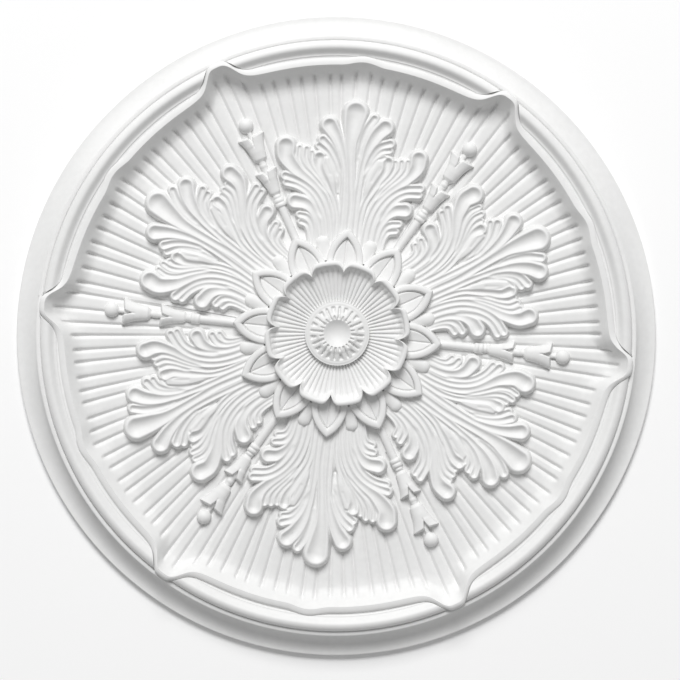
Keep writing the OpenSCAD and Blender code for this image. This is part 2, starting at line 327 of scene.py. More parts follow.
def turned_copies(obj, count, offset, strays=(0,)):
    """Copies obj round the centre, each copy with its own mesh and turned a little astray, in degrees."""
    made = []
    for k in range(count):
        piece = obj if k == 0 else obj.copy()
        if k:
            piece.data = obj.data.copy()
            bpy.context.collection.objects.link(piece)
        piece.name = f"{obj.name.split('_1')[0]}_{k + 1}"
        made.append(piece)
    for k, piece in enumerate(made):
        a = math.radians(offset + 360 / count * k + strays[k % len(strays)])
        co = np.empty(len(piece.data.vertices) * 3)
        piece.data.vertices.foreach_get("co", co)
        co = co.reshape(-1, 3)
        turned = co.copy()
        turned[:, 0] = co[:, 0] * math.cos(a) - co[:, 1] * math.sin(a)
        turned[:, 1] = co[:, 0] * math.sin(a) + co[:, 1] * math.cos(a)
        piece.data.vertices.foreach_set("co", turned.ravel())
        piece.data.update()
    return made


def moved(obj, off):
    """Moves the mesh of obj in the plane of the rose, in metres."""
    obj.data.transform(Matrix.Translation((off[0], off[1], 0)))
    return obj


def finish_piece(obj, angle):
    """Smooths obj where its faces meet at less than angle, paints it and ties it to the frame."""
    only(obj)
    bpy.ops.object.shade_smooth_by_angle(angle=math.radians(angle))
    obj.data.materials.clear()
    obj.data.materials.append(bpy.data.materials[PRIMER])
    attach(obj, "root")
    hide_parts(NODE)
    return obj


def joined(pieces, name):
    """Joins the pieces into one object called name."""
    bpy.ops.object.select_all(action="DESELECT")
    for piece in pieces:
        piece.select_set(True)
    bpy.context.view_layer.objects.active = pieces[0]
    bpy.ops.object.join()
    pieces[0].name = pieces[0].data.name = name
    return pieces[0]


# ---------------------------------------------------------------- rim, lip and flutes


# Distances in from the outer edge to the step and the roll's crest, and the widths of the roll's two
# sides.
STEP_IN = 23.4
ROLL_IN = 36.0
ROLL_OUTER = 7.4
ROLL_INNER = 8.8
# Width of the flat band on the outer edge, and height of the ledge at the foot of the roll's inner side.
BAND = 2
LEDGE = 1.2
# Height and half width of the bead's round.
BEAD_RISE = 1.4
BEAD_HALF = 2.5
# Distance in from the lip's foot to its crest, and width of its outer flank below the foot.
CREST_IN = 5.2
FLANK = 2.2


def moulding_height(r, rim):
    """Height of the round mouldings at radius r."""
    step_r = rim.outer_radius - STEP_IN
    roll_r = rim.outer_radius - ROLL_IN
    roll_foot = rim.bead_height - 1.2
    slope = rim.edge_height + (rim.slope_height - rim.edge_height) * (
        np.clip((rim.outer_radius - BAND - r) / (STEP_IN - BAND), 0, 1) ** 2
    )
    bead = rim.bead_height - BEAD_RISE + BEAD_RISE * arch((r - step_r + BEAD_HALF) / BEAD_HALF) ** 0.7
    outer_side = roll_foot + (rim.roll_height - roll_foot) * arch((r - roll_r) / ROLL_OUTER)
    ledge = rim.groove_height + LEDGE
    fall = np.clip((roll_r - r) / ROLL_INNER, 0, 1)
    inner_side = ledge + (rim.roll_height - ledge) * (0.5 + 0.5 * np.cos(np.pi * fall**1.1))
    inner_side = inner_side - LEDGE * ease((roll_r - ROLL_INNER - 0.4 - r) / LEDGE)
    roll = np.where(r > roll_r, outer_side, inner_side)
    inside = np.where(r > roll_r + ROLL_OUTER - 0.2, np.maximum(bead, roll_foot - 0.6), roll)
    return np.where(r > step_r, slope, inside)


def flank_width(share_out):
    """Width of the lip's outer flank, which is steeper where the lip runs out to a point."""
    return FLANK * (1 - 0.7 * share_out)


def flute_half(r, flutes):
    """Half width of a flute at radius r: flutes narrow a little towards the middle."""
    return flutes.width / 2 * (0.45 + 0.55 * np.clip(r, 130, 280) / 280)


def flute_columns(flutes):
    """For each column: its flute's angle, its place across it in half widths, its share of the gap."""
    centre = flute_angles(flutes.count)
    offsets = np.array([-1.08, -0.72, -0.36, 0, 0.36, 0.72, 1.08])
    gaps = np.roll(centre, -1) - centre
    gaps[-1] += 360
    angle, side, between = [], [], []
    for c, g in zip(centre, gaps):
        for o in offsets:
            angle.append(c)
            side.append(o)
            between.append(0)
        for share_of_gap in (0.25, 0.5, 0.75):
            angle.append(c)
            side.append(0)
            between.append(share_of_gap * g)
    return np.array(angle), np.array(side), np.array(between)


def column_angles(r, flutes):
    """Angles in degrees of all columns at radius r, which may differ from column to column."""
    angle, side, between = flute_columns(flutes)
    lean = np.degrees(flute_half(r, flutes) / np.maximum(r, 130.0))
    edge = side.max() * lean
    shrink = 1 - 2 * edge * flutes.count / 360
    return np.where(between > 0, angle + edge + between * shrink, angle + side * lean)


def ground_height(r, angle, foot, side, rim, flutes, pitch):
    """Height of the lip, the cove and the fluted field at radius r, with the lip's foot at radius foot."""
    t = foot - r
    share_out = point_share(angle, pitch)
    crest = rim.lip_height + (rim.point_height - rim.lip_height) * share_out
    shelf = rim.groove_height + 1.0 * share_out
    flank_w = flank_width(share_out)
    climb = np.clip((t + flank_w) / (CREST_IN + flank_w), 0, 1) ** 0.5
    flank = shelf + (crest - shelf) * np.sin(np.pi / 2 * climb)
    u = np.clip((t - CREST_IN) / rim.cove_width, 0, 1)
    cove = rim.field_height + (crest - rim.field_height) * (1 - u**1.15) ** 1.9
    z = np.where(t < CREST_IN, flank, cove) + PAD_RISE * ease((PAD_RADIUS - r) / PAD_SLOPE)
    half = flute_half(r, flutes)
    stop = foot - flutes.stop - half
    beyond = np.maximum(r - stop, 0) + np.maximum(flutes.start - r, 0)
    q = (side / half) ** 2 + (beyond / half) ** 2
    deep = flutes.depth + (flutes.end_depth - flutes.depth) * ease(1 - (stop - r) / 18)
    return z - deep * (0.5 + 0.5 * np.cos(np.pi * np.sqrt(np.clip(q, 0, 1))))


# The ground is laid out in rings of points. Radii of the rings in the field, closer on the pad's slope:
FIELD_RINGS = (0.0, 60.0, 95.0, 96.2, 97.4, 98.6, 100.0, 138.0, 140.0, 165.0, 190.0, 220.0, 245.0)
# Distances in from the lip's foot of the rings in the cove, closer where the flutes end, and on the flank.
COVE_RINGS = (26, 22.5, 19.5, 17, 14.9, 13.4, 12.6, 12, 11.4, 10.8, 9.8, 8.6, 7.4, 6.2)
FLANK_RINGS = (4, 2.7, 1.4, 0.3, -0.5)
# Least distance between two rings where a point of the lip pushes the mouldings' rings outwards.
RING_GAP = 0.12


def ground_object(rim, flutes, pitch):
    """The whole casting but for leaves, husks and flower, closed by its flat back."""
    angle0, _, between0 = flute_columns(flutes)
    cols = len(angle0)
    mid = column_angles(np.full(cols, 300.0), flutes)
    foot = lip_foot(mid, rim, pitch)
    flank_w = flank_width(point_share(mid, pitch))

    radii = [np.full(cols, r) for r in FIELD_RINGS]
    for f in (0.35, 0.7):
        radii.append(FIELD_RINGS[-1] + (foot - COVE_RINGS[0] - FIELD_RINGS[-1]) * f)
    radii += [foot - t for t in (*COVE_RINGS, CREST_IN, *FLANK_RINGS)]
    radii += [foot + flank_w * 0.6, foot + flank_w]
    inner_rows = len(radii)

    outer = rim.outer_radius
    roll_r = outer - ROLL_IN
    step_r = outer - STEP_IN
    start = roll_r - ROLL_INNER
    rim_rows = [start - 1.7, start - 1.3, start - 0.9, start - 0.5]
    rim_rows += [start + ROLL_INNER * t for t in np.arange(0.05, 1, 0.1)]
    rim_rows += [roll_r + ROLL_OUTER * math.sin(math.radians(a)) for a in (6, 18, 30, 42, 54, 65, 74, 80)]
    rim_rows += [step_r - t for t in (4.95, 4.6, 4.0, 3.2, 2.4, 1.6, 0.9, 0.4, 0.1)]
    rim_rows += [step_r + 0.06]
    slope_shares = (0.98, 0.9, 0.8, 0.7, 0.6, 0.5, 0.4, 0.3, 0.2, 0.1)
    rim_rows += [outer - BAND - (STEP_IN - BAND) * t for t in slope_shares]
    rim_rows += [outer - 1.6, outer - 0.8, outer - 0.3]
    for k, r in enumerate(rim_rows):
        radii.append(np.maximum(r, foot + flank_w + RING_GAP * (k + 1)))
    radii += [np.full(cols, outer), np.full(cols, outer), np.full(cols, 0.0)]

    rows = len(radii)
    x = np.empty((rows, cols + 1))
    y = np.empty((rows, cols + 1))
    z = np.empty((rows, cols + 1))
    for i, r in enumerate(radii):
        a = column_angles(r, flutes)
        side = np.radians(a - angle0) * np.maximum(r, 1)
        side = np.where(between0 > 0, np.inf, side)
        if i < inner_rows:
            h = ground_height(r, a, foot, side, rim, flutes, pitch)
        else:
            h = moulding_height(r, rim)
        if i == rows - 4:
            h = np.full(cols, rim.edge_height - 0.25)
        if i == rows - 3:
            h = np.full(cols, rim.edge_height - 1.0)
        if i >= rows - 2:
            h = np.zeros(cols)
        x[i, :cols] = r * np.cos(np.radians(a))
        y[i, :cols] = r * np.sin(np.radians(a))
        z[i, :cols] = h
    for grid in (x, y, z):
        grid[:, cols] = grid[:, 0]
    z[0] = rim.field_height + PAD_RISE
    return close_up(grid_object("ground", x, y, z))


# ---------------------------------------------------------------- leaves

# Channels of one leaf, gouged from tip to foot. Each has the height of its rim as a share of the leaf's
# rise, how hollow it is, and its nodes: distance right of the leaf's axis, distance from the centre of the
# rose and half width.
CHANNELS = [
    (1, 1, [(-3.4, 241, 13.2), (-5, 226, 10.2), (-5.8, 209, 6.4), (-4.2, 191, 4.4), (-1.5, 167, 3.8),
        (0.8, 144, 3.7), (0.4, 120, 3), (0, 96, 2.4)]),
    (0.9, 1, [(17.3, 236.5, 4.6), (11.2, 226, 4.3), (6.8, 212, 3.7), (4.6, 196, 2.9), (4.9, 181, 1.9)]),
    (1, 1, [(30, 228, 8.7), (22, 219, 7.4), (15, 205.5, 5.4), (10.6, 190, 3.7), (8.2, 170, 2.9),
        (7.2, 149, 2.9), (7.2, 124, 2.7), (7.2, 96, 2.4)]),
    (0.9, 1, [(37.3, 211, 4.4), (27.2, 206.3, 4.5), (19.2, 196, 3.8), (14.3, 183, 2.8),
        (11, 167, 1.8)]),
    (0.78, 1, [(37, 203.6, 3.4), (28.4, 201.4, 3.3), (21.6, 194, 2.9), (16.8, 184, 2.3),
        (13.3, 171, 1.6)]),
    (0.72, 0.8, [(32.5, 195.5, 2.3), (24, 190, 2.7), (17.3, 180, 2.7), (13.7, 169, 2.3),
        (12, 157, 1.6)]),
    (0.86, 1.2, [(36.6, 190.4, 6.6), (35.4, 181, 5.2), (29.4, 170, 4.1), (22.2, 157, 3.2),
        (15.6, 143, 2.7), (12.6, 124, 2.6), (12.2, 96, 2.4)]),
    (0.66, 1, [(45, 191.5, 2.5), (44.6, 184, 2.5), (40, 175.4, 2.3), (32.6, 166.6, 2),
        (24.6, 155, 1.5)]),
    (0.74, 1, [(51.4, 192.4, 2.9), (50.8, 183.6, 2.9), (45, 174.6, 2.6), (36, 164.4, 2.1),
        (26.8, 151.5, 1.7), (18.8, 136, 1.3)]),
    (0.76, 1, [(58.2, 193, 2.7), (57.4, 184, 2.7), (51.6, 175.3, 2.4), (41.4, 165.2, 2),
        (30.4, 152.4, 1.6), (22.2, 138, 1.3)]),
    (1, 1, [(69.6, 197.6, 8.9), (68.4, 187, 7.7), (60.4, 176.4, 6.1), (49, 166, 5), (37.8, 156, 4.2),
        (28.2, 143.3, 3.5), (22.4, 129, 3), (19.4, 112, 2.8), (18.6, 94, 2.6)]),
    (0.86, 1, [(74.3, 165.6, 4.1), (60.4, 163.6, 4), (48, 157.5, 3.6), (37.6, 147, 3.1),
        (29.8, 132.4, 2.8), (25.6, 114, 2.6), (24.4, 93, 2.5)]),
    (0.78, 0.9, [(73.6, 158.4, 3.5), (59.6, 157, 3.6), (49.2, 150.5, 3.2), (41, 140, 2.7),
        (35.2, 127.5, 2.3), (31.6, 113, 1.8)]),
    (0.98, 1, [(60, 140.4, 7.4), (50, 139, 6.2), (41.4, 133, 4.9), (35.4, 123.5, 3.8), (32, 111, 3),
        (30.4, 92, 2.6)]),
    (0.82, 1, [(54.8, 124.6, 3.4), (45.2, 122.8, 3.5), (39, 115.6, 3), (35.8, 104, 2.4),
        (34.8, 91, 2.2)]),
    (0.72, 1, [(52.4, 116.8, 3), (44.6, 115, 3), (40.6, 109, 2.6), (38.4, 100, 2.2), (37.4, 91, 2)]),
    (1, 1, [(-30.6, 224.8, 8.9), (-22.8, 214, 6.6), (-16.8, 202, 4.7), (-12, 188, 3.3), (-9, 171, 2.9),
        (-7.6, 149, 2.9), (-7, 124, 2.7), (-7, 96, 2.4)]),
    (0.9, 1, [(-36.4, 208.4, 4.7), (-28.4, 201.2, 4), (-20.8, 190.4, 3.2), (-15, 177.5, 2.4),
        (-11.2, 163, 1.7)]),
    (0.76, 1, [(-40.2, 201.6, 3.4), (-31.2, 195.4, 3.3), (-23.8, 186.4, 2.8), (-18, 175, 2.2),
        (-13.4, 160, 1.5)]),
    (0.72, 0.8, [(-31, 191, 2.3), (-25.6, 186, 2.6), (-20.6, 176, 2.6), (-17, 165, 2.2),
        (-14.6, 154, 1.6)]),
    (0.86, 1.2, [(-38.2, 188.6, 6.9), (-38, 180, 5.4), (-33.4, 170.4, 4.2), (-25.6, 159, 3.3),
        (-17.8, 144.6, 2.8), (-13, 126, 2.6), (-12, 96, 2.4)]),
    (0.66, 1, [(-46.6, 193.6, 2.5), (-45.4, 185, 2.5), (-39.4, 175, 2.3), (-31, 164.4, 2),
        (-23, 152, 1.5)]),
    (0.74, 1, [(-53, 197, 3), (-52.2, 187.6, 3), (-46.4, 177.6, 2.7), (-36.6, 167.4, 2.2),
        (-26, 154.6, 1.8), (-18.4, 140, 1.3)]),
    (0.76, 1, [(-60.8, 197.6, 2.8), (-60.2, 187.1, 2.8), (-54.4, 177.1, 2.5), (-43.8, 168, 2.1),
        (-31.8, 156.2, 1.7), (-22.2, 141, 1.3)]),
    (1, 1, [(-75.8, 197.6, 10.3), (-74.4, 186.8, 8.9), (-65.2, 176, 6.7), (-52, 166.8, 5.2),
        (-39, 157.8, 4.2), (-29.2, 146.5, 3.5), (-22, 131.4, 3), (-17.8, 112, 2.8), (-16.6, 94, 2.6)]),
    (0.86, 1, [(-73.4, 165.4, 4.5), (-59.6, 161.4, 4.2), (-46.4, 155, 3.7), (-35.8, 144.8, 3.2),
        (-27.6, 130.3, 2.8), (-23.2, 112, 2.6), (-22, 93, 2.5)]),
    (0.78, 0.9, [(-71.4, 158, 3.5), (-58.8, 156, 3.6), (-47, 149.6, 3.2), (-38.6, 140, 2.6),
        (-32.6, 127.5, 2.2), (-29.2, 113, 1.8)]),
    (0.98, 1, [(-60, 138.8, 7.8), (-49.2, 137.6, 6.4), (-40.4, 132, 4.9), (-33.8, 121.6, 3.8),
        (-30, 107, 3), (-28.6, 92, 2.6)]),
    (0.82, 1, [(-53.6, 124.8, 3.4), (-45.8, 123.2, 3.4), (-40.4, 117, 3), (-36.8, 105, 2.4),
        (-35, 91, 2.2)]),
    (0.72, 1, [(-51.8, 117.2, 2.9), (-45.4, 115, 2.8), (-41.8, 109, 2.4), (-39.8, 100, 2.1),
        (-38.4, 91, 2)]),
]
# A channel whose last node is farther out than this ends on the leaf, and runs out there.
LEAF_FOOT = 100
# Smooth skin between the channels: height at the outer end as a share of the rise, then nodes as above.
WEBS = [
    (0.5, [(-3, 222, 9), (-1, 196, 13), (0, 165, 14), (0, 130, 18), (0, 92, 22)]),
    (0.42, [(44, 176, 8), (33, 160, 12), (24, 140, 13), (17, 112, 15), (15, 90, 15)]),
    (0.42, [(-46, 178, 8), (-34, 160, 12), (-24, 140, 13), (-17, 112, 15), (-15, 90, 15)]),
    (0.4, [(47, 144, 7), (38, 132, 8), (33, 104, 8), (32, 90, 8)]),
    (0.4, [(-47, 144, 7), (-38, 132, 8), (-33, 104, 8), (-32, 90, 8)]),
    (0.78, [(27.5, 189, 3.4), (23, 177, 4.8), (18.6, 165, 4), (15.5, 152, 2.4), (13.8, 141, 0.7)]),
    (0.78, [(-31, 187, 3.2), (-27.5, 176, 4.4), (-23.4, 167, 3.8), (-19.5, 155, 2.4),
        (-16.4, 143, 0.7)]),
]
# Eyes: the deep drops where two lobes part, with nodes as above.
EYES = [
    [(28.5, 185, 1.8), (24.6, 177, 3), (21, 168.5, 3.4)],
    [(-31, 183, 1.6), (-28, 177.5, 2.6), (-25, 172, 3)],
]


def nearest_on(line, x, y, reach):
    """For points x, y: distance to a line in half widths, place along it from 0 to 1, half width there."""
    px, py, pw = line.T
    inside = (x > px.min() - reach) & (x < px.max() + reach)
    inside = inside & (y > py.min() - reach) & (y < py.max() + reach)
    xs, ys = x[inside], y[inside]
    best = np.full(xs.shape, 1e9)
    along = np.zeros(xs.shape)
    wide = np.ones(xs.shape)
    last = len(line) - 1
    for j in range(last):
        dx, dy = px[j + 1] - px[j], py[j + 1] - py[j]
        s = np.clip(((xs - px[j]) * dx + (ys - py[j]) * dy) / (dx * dx + dy * dy + 1e-9), 0, 1)
        w = pw[j] + (pw[j + 1] - pw[j]) * s
        q = np.hypot(xs - px[j] - s * dx, ys - py[j] - s * dy) / w
        nearer = q < best
        best[nearer] = q[nearer]
        along[nearer] = ((j + s) / last)[nearer]
        wide[nearer] = w[nearer]
    return inside, best, along, wide


def leaf_height(x, y, leaf):
    """Height of a leaf above the field: the highest channel edges, cut by the lowest gouge."""
    body = np.full(x.shape, NOTHING)
    gouge = np.full(x.shape, np.inf)
    for rim_share, hollow, nodes in CHANNELS:
        inside, q, along, wide = nearest_on(smooth_line(nodes, 6), x, y, 20)
        tip = ease(1 - along * 2.4)
        end = ease((along - 0.62) / 0.38) if nodes[-1][1] > LEAF_FOOT else 0 * along
        top = leaf.foot + (leaf.rise * rim_share - leaf.foot) * np.clip(1 - along, 0, 1) ** 1.3 - 3.2 * end
        deep = hollow * (np.minimum(0.6 * wide, 2.1) + tip * np.minimum(0.24 * wide, 2.7))
        rim_at = 0.9 - 0.13 * tip
        channel = top - deep * (1 - (q / rim_at) ** 2) + 7 * end**2
        beyond = np.maximum(q - rim_at, 0) * wide
        round_r = (1 - rim_at) * wide + 0.7
        edge = np.where(
            beyond < round_r * 0.94,
            round_r - np.sqrt(np.maximum(round_r**2 - beyond**2, 0)),
            round_r * 0.66 + (beyond - round_r * 0.94) * 3.4,
        )
        body[inside] = np.maximum(body[inside], top - edge)
        gouge[inside] = np.minimum(gouge[inside], channel)
    z = np.minimum(body, gouge)
    for rise_share, nodes in WEBS:
        inside, q, along, wide = nearest_on(smooth_line(nodes, 4), x, y, 30)
        fall = 10 * max(rise_share - 0.5, 0) * ease((along - 0.55) / 0.45)
        top = leaf.rise * rise_share + 0.6 * along - fall
        skin = top - np.maximum(q - 0.8, 0) * wide * 2.2
        z[inside] = np.maximum(z[inside], skin)
    for nodes in EYES:
        inside, q, _, _ = nearest_on(smooth_line(nodes, 4), x, y, 8)
        z[inside] = np.minimum(z[inside], 0.74 * leaf.rise + 1.8 * q**2)
    z = np.maximum(z, NOTHING)
    for _ in range(leaf.softening):
        z = softened(z)
    return z


def leaf_object(rim, leaf):
    """One leaf that points along +Y."""
    step = leaf.grain
    xs = np.arange(-90, 90 + step, step)
    ys = np.arange(90, 258 + step, step)
    x, y = np.meshgrid(xs, ys)
    z = rim.field_height + leaf_height(x, y, leaf)
    return carved_piece("leaf_1", x, y, z, rim, keep=0.6)


# ---------------------------------------------------------------- husks


# Places along a string of husks, counted from the centre of the rose: where its stem begins and ends,
# the end of the neck in the knot, each husk from its shoulders to its mouth, the rods that carry on from
# them, and the drop.
STRING_START = 93
STEM_END = 156
NECK_END = 169
INNER_HUSK = (166.6, 194.6)
INNER_ROD = (186, 209)
OUTER_HUSK = (206.4, 235.4)
OUTER_ROD = (226, 243)
DROP_PLACE = 248.6
# Rings on a string, which make its knot and its collar: distance from the centre, radius and half width.
STRING_RINGS = ((154.4, 6.2, 2.7), (159.2, 6.0, 2.7), (163.8, 4.7, 2.3), (200.6, 4.5, 3.2))
# How far, in metres, a string's mesh is moved along its axis when it is put in its place.
STRING_SHIFT = -0.0012


def husk_height(x, y, start, mouth, wide):
    """A bell laid on its side, with square shoulders and two lips that part at the mouth."""
    u = np.clip((x - start) / (mouth - start), 0, 1)
    half = wide * (0.47 + 0.31 * u + 0.22 * u**4) * (0.75 + 0.25 * ease((x - start) / 3))
    q = np.abs(y) / half
    crown = np.minimum(0.72 * half, 6.6) + 1.5 * u**3
    z = crown * np.clip(1 - q**2.4, 0, 1) ** 0.55 + 1.0
    parting = y - 1.0
    z = z + 0.5 * ease(parting / 1.2) * ease((x - mouth + 13) / 3)
    z = z - 0.8 * np.exp(-((parting / 0.7) ** 2)) * ease((x - mouth + 14) / 3)
    z = np.where(q < 1, z, NOTHING)
    cut = np.minimum(mouth - 2.2 * (1 - np.abs(y) / wide), mouth - 9.5 + 2.7 * np.abs(parting))
    return z - np.maximum(x - cut, 0) * 3.6 - np.maximum(start - x, 0) * 4


def string_height(x, y, husk):
    """Height above the field of a stem, a knot, two husks and a drop, along +X."""
    stem = husk.stem_radius

    def rod(start, stop, radius, lift):
        end = np.maximum(np.maximum(start - x, x - stop), 0)
        return np.where(np.abs(y) < radius, radius * arch(y / radius) + lift, NOTHING) - end * 4

    def ring(at, radius, wide):
        near = (np.abs(y) < radius) & (np.abs(x - at) < wide)
        band = radius * arch(np.clip(y / radius, -1, 1)) + 0.6 - (1 - arch((x - at) / wide)) * 2.2
        return np.where(near, band, NOTHING)

    z = rod(STRING_START, STEM_END, stem, 0.6)
    z = np.maximum(z, rod(STEM_END, NECK_END, stem * 0.8, 0.4))
    z = np.maximum(z, husk_height(x, y, *INNER_HUSK, husk.inner_width))
    z = np.maximum(z, rod(*INNER_ROD, stem * 0.85, 0.6))
    z = np.maximum(z, husk_height(x, y, *OUTER_HUSK, husk.outer_width))
    z = np.maximum(z, rod(*OUTER_ROD, stem * 0.62, 0.6))
    for at, radius, wide in STRING_RINGS:
        z = np.maximum(z, ring(at, radius, wide))
    drop = husk.drop_radius
    away_from = np.hypot(x - DROP_PLACE, y) / drop
    return np.maximum(z, np.where(away_from < 1, drop * 0.95 * arch(away_from) + 0.4, NOTHING))


def string_object(rim, husk):
    """One string of husks along +X."""
    step = 0.45
    across = 18
    end = 260
    x, y = np.meshgrid(np.arange(STRING_START, end, step), np.arange(-across, across + step, step))
    z = softened(rim.field_height + string_height(x, y, husk))
    return carved_piece("husks_1", x, y, z, rim, keep=0.85)


# ---------------------------------------------------------------- flower


def sepal_object(rim, flower):
    """One pointed sepal along +X, with a rolled border round a valley."""
    half = flower.sepal_width / 2
    tip = flower.sepal_tip
    base = flower.petal_radius - 1
    reach = tip - base
    bow = (reach**2 + half**2) / (2 * half)
    step = 0.5
    x, y = np.meshgrid(np.arange(62, tip + 4, step), np.arange(-half - 4, half + 4 + step, step))
    ahead = np.maximum(x, base) - base
    inward = np.minimum(bow - np.hypot(ahead, y + bow - half), bow - np.hypot(ahead, y - bow + half))
    middle = flower.border / 2
    roll_rise = 2.2
    border = flower.sepal_height - roll_rise + roll_rise * arch((inward - middle) / (middle + 0.5))
    deep = np.abs(y) / (half - flower.border)
    valley = flower.sepal_height - 1.2 - 2.7 * (1 - np.clip(deep, 0, 1)) ** 0.8
    valley = valley - 1.3 * np.exp(-((y / 0.75) ** 2))
    seam = 1.5 * np.exp(-(((inward - flower.border - 0.2) / 0.8) ** 2))
    z = np.where(inward > flower.border, valley, border) - seam
    z = z - np.maximum(0.3 - inward, 0) * 6
    z = np.maximum(z, rim.field_height + NOTHING)
    return carved_piece("sepals", x, y, z, rim, keep=0.55)


def bud_object(rim, flower):
    """The low round tip of an under-petal that shows between two sepals."""
    half = flower.bud_radius
    end = flower.sepal_tip - 12.8
    step = 0.5
    x, y = np.meshgrid(np.arange(80, end + half + 3, step), np.arange(-half - 3, half + 3 + step, step))
    q = np.hypot(np.maximum(x - end, 0), y) / half
    z = flower.sepal_height - 3.6 - 0.06 * (x - end) - 4.6 * (1 - arch(q))
    z = z - np.maximum(q - 0.98, 0) * half * 4
    z = np.maximum(z, rim.field_height + NOTHING)
    return carved_piece("buds", x, y, z, rim, keep=0.4)


def petals_object(rim, flower):
    """The ring of petals as one bowl: a scalloped rolled rim and ribs that run down to the boss."""
    count = flower.petals
    cols = count * flower.ribs * 9
    angle = np.arange(cols + 1) * 360 / cols
    pitch = 360 / count
    off = away(angle - pitch / 2, pitch) / (pitch / 2)
    notch = np.clip((off - 0.45) / 0.55, 0, 1) ** 2.6
    edge = flower.petal_radius - (flower.petal_radius - flower.meeting_radius) * notch
    dip = (flower.petal_radius - flower.meeting_radius - 4.4) * notch
    inner_edge = flower.petal_radius - flower.petal_rim - dip
    inner = flower.boss_radius - 1
    rise = flower.petal_height - flower.bowl_height
    rib = np.abs(np.sin(np.radians(angle * count * flower.ribs / 2)))
    slit = ease((off - 0.90) / 0.10)
    rows = []
    for f in np.linspace(0, 1, 34):
        r = inner + (inner_edge - inner) * f
        bowl = flower.bowl_height + rise * (0.30 * f + 0.20 * f**3 + 0.26 * ease((f - 0.86) / 0.14))
        fade = ease(f / 0.10) * ease((0.995 - f) / 0.05)
        cut = flower.rib_depth * (1 - rib) ** 1.2 * fade
        rows.append((r, bowl - cut - 0.8 * slit * ease((f - 0.8) / 0.2)))
    for f in (0.0, 0.05, 0.13, 0.23, 0.36, 0.5, 0.64, 0.77, 0.87, 0.95, 1.0):
        t = 2 * f - 1
        low = 3.0 if f < 0.5 else 2.2
        crest = flower.petal_height - low + low * arch(t)
        rows.append((inner_edge + (edge - inner_edge) * f, crest - 1.8 * slit))
    underside = rim.field_height + PAD_RISE
    rows.append((edge, np.full(cols + 1, underside)))
    nowhere = np.zeros(cols + 1)
    radii = [nowhere] + [np.broadcast_to(r, off.shape) for r, _ in rows] + [nowhere]
    heights = [nowhere + flower.bowl_height] + [h for _, h in rows] + [nowhere + underside]
    return turned_skin("petals", radii, angle, heights)


def boss_object(flower):
    """The boss: a ring, a dome cut by grooves and pockets, and a smooth dish."""
    count = flower.petals
    cols = count * 40
    angle = np.arange(cols + 1) * 360 / cols
    pitch = 360 / count
    ring_r, dish = flower.boss_radius, flower.dish_radius
    ring_z = flower.bowl_height + 5.4
    swing = [160, 145, 130, 115, 100, 85, 70, 55, 40, 25, 10, 0]
    radii = list(np.linspace(0, dish, 14)) + list(np.linspace(dish + 0.5, ring_r - 3.4, 36))
    radii += [ring_r + 3.2 * math.cos(math.radians(a)) for a in swing]
    across = np.radians(away(angle, pitch))
    between = np.radians(away(angle - pitch / 2, pitch))
    heights = []
    for r in radii:
        bowl = flower.boss_height - flower.dish_depth * (1 - (r / dish) ** 2)
        f = np.clip((r - dish) / (ring_r - dish), 0, 1)
        dome = flower.boss_height + 0.9 * math.sin(math.pi * min(f * 2.2, 1))
        dome = dome - (flower.boss_height - ring_z) * f**1.6
        ring = ring_z - 2.6 + 3.2 * float(arch(np.array((r - ring_r) / 3.3)))
        clear = ease((ring_r - 1.5 - r) / 3)
        groove = 2.9 * np.exp(-((across * r / 1.15) ** 2)) * ease((r - dish + 0.5) / 2) * clear
        wedge = 1.9 + 1.9 * (r - 22) / 9
        pocket = 2.8 * ease((wedge - between * r) / 2.4) * ease((r - 21.6) / 3.4) * clear
        notch = 2.0 * ease((1.5 - between * r) / 1.5) * ease((r - dish + 0.3) / 1) * ease((20.2 - r) / 2.2)
        top = np.full(cols + 1, bowl if r <= dish else max(dome, ring))
        heights.append(top - (groove + pocket + notch) * (r > dish - 0.5))
    foot = flower.bowl_height - 3
    radii = [np.full(cols + 1, r) for r in radii] + [np.full(cols + 1, ring_r + 3.2), np.zeros(cols + 1)]
    return turned_skin("boss", radii, angle, heights + [np.full(cols + 1, foot)] * 2)


# ---------------------------------------------------------------- materials


class Socket:
    """An output socket that takes part in arithmetic by adding Math nodes."""

    def __init__(self, tree, socket):
        self.tree, self.socket = tree, socket

    def node(self, kind, inputs=(), out=0, **settings):
        made = self.tree.nodes.new(kind)
        for name, value in settings.items():
            setattr(made, name, value)
        for name, value in dict(inputs).items():
            if isinstance(value, Socket):
                self.tree.links.new(value.socket, made.inputs[name])
            else:
                made.inputs[name].default_value = value
        return Socket(self.tree, made.outputs[out])

    def noise(self, scale, detail, rough):
        settings = {"Vector": self, "Scale": scale, "Detail": detail, "Roughness": rough}
        return self.node("ShaderNodeTexNoise", settings)

    def math(self, operation, other=0.0, turned=False):
        a, b = (other, self) if turned else (self, other)
        return self.node("ShaderNodeMath", {0: a, 1: b}, operation=operation)

    def __add__(self, other):
        return self.math("ADD", other)

    def __radd__(self, other):
        return self.math("ADD", other, True)

    def __sub__(self, other):
        return self.math("SUBTRACT", other)

    def __rsub__(self, other):
        return self.math("SUBTRACT", other, True)

    def __mul__(self, other):
        return self.math("MULTIPLY", other)

    def __rmul__(self, other):
        return self.math("MULTIPLY", other, True)

    def clamp(self, low, high):
        return self.node(
            "ShaderNodeMapRange",
            {"Value": self, "From Min": low, "From Max": high},
            interpolation_type="SMOOTHSTEP",
        )

    def mix(self, low, high):
        return self.node("ShaderNodeMix", {0: self, 6: (*low, 1), 7: (*high, 1)}, out=2, data_type="RGBA")


